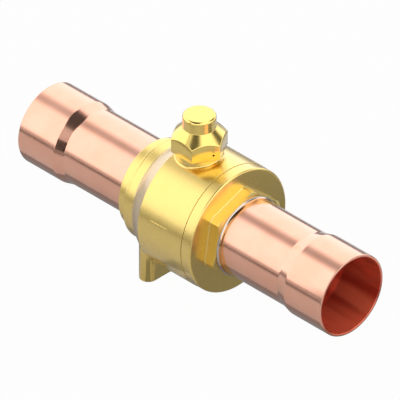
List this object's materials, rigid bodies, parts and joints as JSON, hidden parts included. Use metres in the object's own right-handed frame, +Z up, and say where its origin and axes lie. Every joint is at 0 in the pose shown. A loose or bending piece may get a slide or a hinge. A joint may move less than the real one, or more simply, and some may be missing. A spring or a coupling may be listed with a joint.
{
  "type": "shut-off ball valve",
  "caption": "Brass ball valve for a refrigerant line: round body with copper tube ends to braze in, hexagon connector, mounting foot and a sealed stem cap.",
  "frame": {"origin": "on the underside of the foot's plane, right under the stem axis, at the bottom centre of the part's box", "axes": "+X along the line from the inlet to the outlet, +Z up along the stem, +Y across"},
  "size_m": [0.2768, 0.0888, 0.1196],
  "materials": {
    "forged_brass": "turned satin with an as-forged shoulder",
    "turned_brass": "bright turned",
    "copper": "bright drawn copper",
    "silver_braze": "flowed silver braze",
    "plated_ball": "polished plating",
    "plated_stem": "nickel plated, fine turned",
    "ptfe": "waxy white",
    "black_rubber": "moulded matte",
    "spring_steel": "tempered and oiled"
  },
  "bodies": {
    "housing": {"valve_body": "forged_brass", "end_connector": "turned_brass", "inlet_tube": "copper", "outlet_tube": "copper", "inlet_braze_ring": "silver_braze", "outlet_braze_ring": "silver_braze", "inlet_seat": "ptfe", "outlet_seat": "ptfe", "inlet_seat_o_ring": "black_rubber", "outlet_seat_o_ring": "black_rubber", "joint_o_ring": "black_rubber", "stop_pin": "spring_steel"},
    "drive_stem": {"stem": "plated_stem", "thrust_washer": "ptfe", "lower_stem_o_ring": "black_rubber", "upper_stem_o_ring": "black_rubber", "stop_washer": "spring_steel", "circlip": "spring_steel"},
    "shut_off_ball": {"ball": "plated_ball"},
    "gasket": {"cap_gasket": "ptfe"},
    "cap": {"seal_cap": "turned_brass"}
  },
  "joints": [
    {"name": "stem_turn", "type": "hinge", "parent": "housing", "child": "drive_stem", "pos_m": [0, 0, 0.09], "axis": [0, 0, 1], "range_deg": [-90, 0]},
    {"name": "ball_turn", "type": "hinge", "parent": "housing", "child": "shut_off_ball", "pos_m": [0, 0, 0.04495], "axis": [0, 0, 1], "range_deg": [-90, 0]},
    {"name": "cap_lift", "type": "slide", "parent": "housing", "child": "gasket", "axis": [0, 0, 1], "range_m": [0, 0.009]},
    {"name": "cap_turn", "type": "hinge", "parent": "gasket", "child": "cap", "pos_m": [0, 0, 0.1], "axis": [0, 0, 1], "range_deg": [0, 2160]}
  ],
  "couplings": [
    {"joint": "ball_turn", "follows": "stem_turn", "ratio": 1},
    {"joint": "cap_lift", "follows": "cap_turn", "m_per_rad": 0.00023873}
  ]
}
